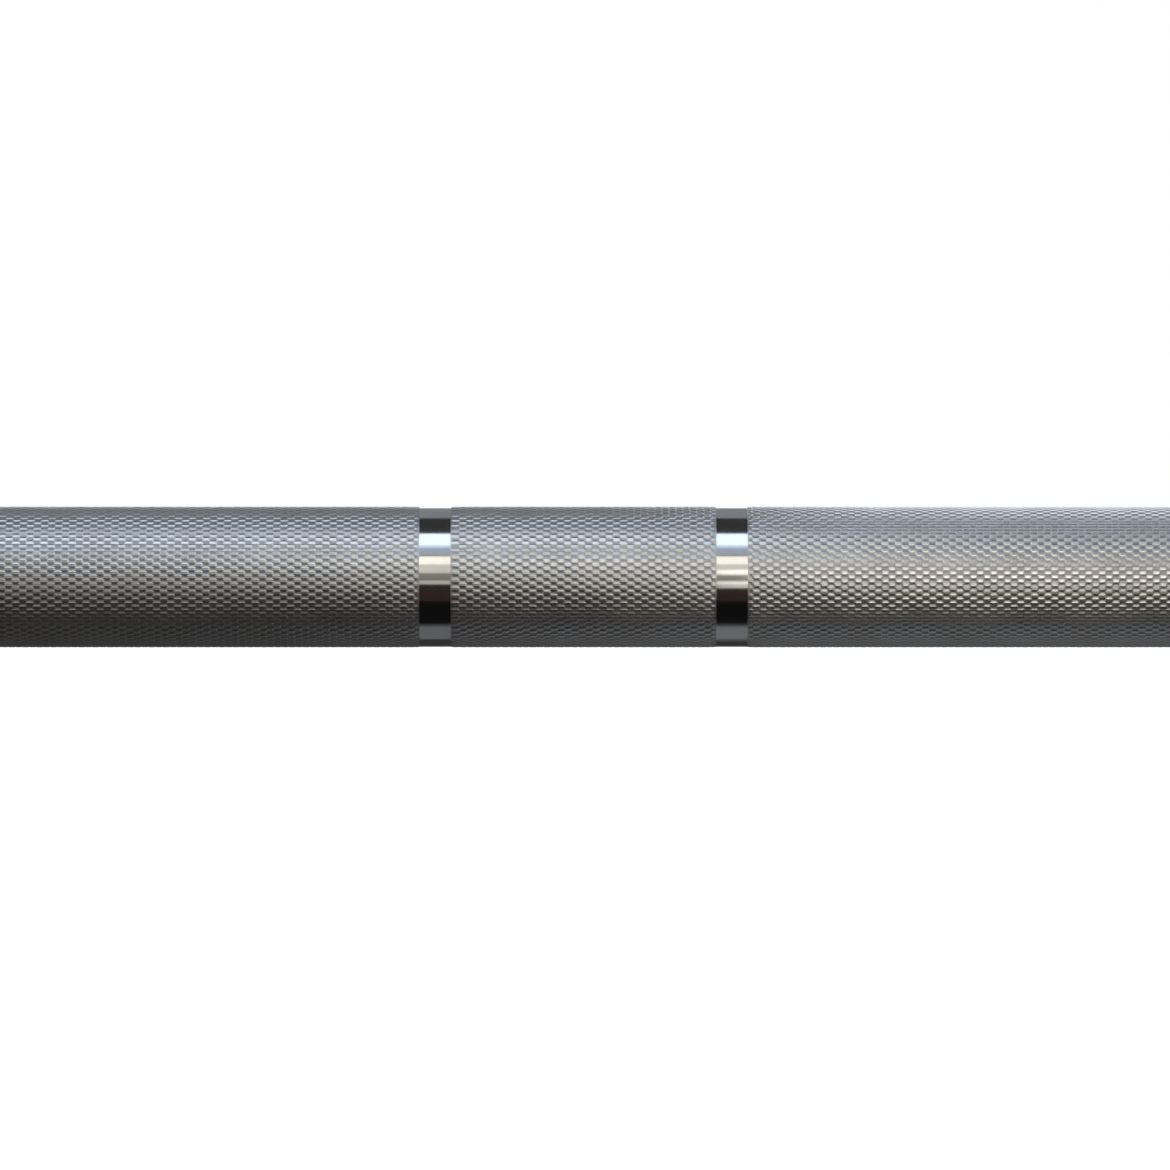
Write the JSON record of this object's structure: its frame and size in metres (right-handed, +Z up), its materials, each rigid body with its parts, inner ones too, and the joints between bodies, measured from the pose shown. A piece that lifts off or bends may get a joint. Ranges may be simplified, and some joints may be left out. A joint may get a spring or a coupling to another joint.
{
  "type": "olympic barbell",
  "caption": "Straight steel weightlifting bar with knurled grip bands, smooth hand marks and a free-turning plate sleeve on needle bearings at each end.",
  "frame": {"origin": "middle of the bar, on its axis", "axes": "+X along the bar to the right sleeve, +Z up, -Y towards the lifter"},
  "size_m": [2.2, 0.075, 0.075],
  "materials": {
    "shaft_chrome": "hard chrome, satin over the knurl and bright on the smooth marks",
    "collar_chrome": "bright hard chrome over turned steel",
    "sleeve_chrome": "hard chrome over fine turning marks",
    "seal_rubber": "matt black nitrile rubber",
    "hardened_washer": "ground hardened steel",
    "bushing_bronze": "oiled sintered bronze",
    "bearing_steel": "bright drawn bearing steel",
    "cage_steel": "oiled pressed steel",
    "needle_steel": "polished bearing steel",
    "spring_steel": "black phosphated spring steel",
    "cap_alloy": "black anodised aluminium"
  },
  "bodies": {
    "shaft": {"shaft": "shaft_chrome", "right_inner_washer": "hardened_washer", "right_outer_washer": "hardened_washer", "right_shaft_ring": "spring_steel", "left_inner_washer": "hardened_washer", "left_outer_washer": "hardened_washer", "left_shaft_ring": "spring_steel"},
    "right_sleeve": {"right_sleeve_tube": "sleeve_chrome", "right_collar": "collar_chrome", "right_dust_seal": "seal_rubber", "right_inner_bushing": "bushing_bronze", "right_outer_bushing": "bushing_bronze", "right_inner_bearing_cup": "bearing_steel", "right_outer_bearing_cup": "bearing_steel", "right_end_cap": "cap_alloy", "right_cap_ring": "spring_steel"},
    "right_inner_cage": {"right_inner_bearing_cage": "cage_steel", "right_inner_bearing_needles": "needle_steel"},
    "right_outer_cage": {"right_outer_bearing_cage": "cage_steel", "right_outer_bearing_needles": "needle_steel"},
    "left_sleeve": {"left_sleeve_tube": "sleeve_chrome", "left_collar": "collar_chrome", "left_dust_seal": "seal_rubber", "left_inner_bushing": "bushing_bronze", "left_outer_bushing": "bushing_bronze", "left_inner_bearing_cup": "bearing_steel", "left_outer_bearing_cup": "bearing_steel", "left_end_cap": "cap_alloy", "left_cap_ring": "spring_steel"},
    "left_inner_cage": {"left_inner_bearing_cage": "cage_steel", "left_inner_bearing_needles": "needle_steel"},
    "left_outer_cage": {"left_outer_bearing_cage": "cage_steel", "left_outer_bearing_needles": "needle_steel"}
  },
  "joints": [
    {"name": "right_sleeve_spin", "type": "hinge", "parent": "shaft", "child": "right_sleeve", "pos_m": [0.8775, 0, 0], "axis": [1, 0, 0], "continuous": true},
    {"name": "right_inner_cage_spin", "type": "hinge", "parent": "shaft", "child": "right_inner_cage", "pos_m": [0.7196, 0, 0], "axis": [1, 0, 0], "continuous": true},
    {"name": "right_outer_cage_spin", "type": "hinge", "parent": "shaft", "child": "right_outer_cage", "pos_m": [0.997, 0, 0], "axis": [1, 0, 0], "continuous": true},
    {"name": "left_sleeve_spin", "type": "hinge", "parent": "shaft", "child": "left_sleeve", "pos_m": [-0.8775, 0, 0], "axis": [1, 0, 0], "continuous": true},
    {"name": "left_inner_cage_spin", "type": "hinge", "parent": "shaft", "child": "left_inner_cage", "pos_m": [-0.7196, 0, 0], "axis": [1, 0, 0], "continuous": true},
    {"name": "left_outer_cage_spin", "type": "hinge", "parent": "shaft", "child": "left_outer_cage", "pos_m": [-0.997, 0, 0], "axis": [1, 0, 0], "continuous": true}
  ],
  "couplings": [
    {"joint": "right_inner_cage_spin", "follows": "right_sleeve_spin", "ratio": 0.54546},
    {"joint": "right_outer_cage_spin", "follows": "right_sleeve_spin", "ratio": 0.54546},
    {"joint": "left_inner_cage_spin", "follows": "left_sleeve_spin", "ratio": 0.54546},
    {"joint": "left_outer_cage_spin", "follows": "left_sleeve_spin", "ratio": 0.54546}
  ]
}
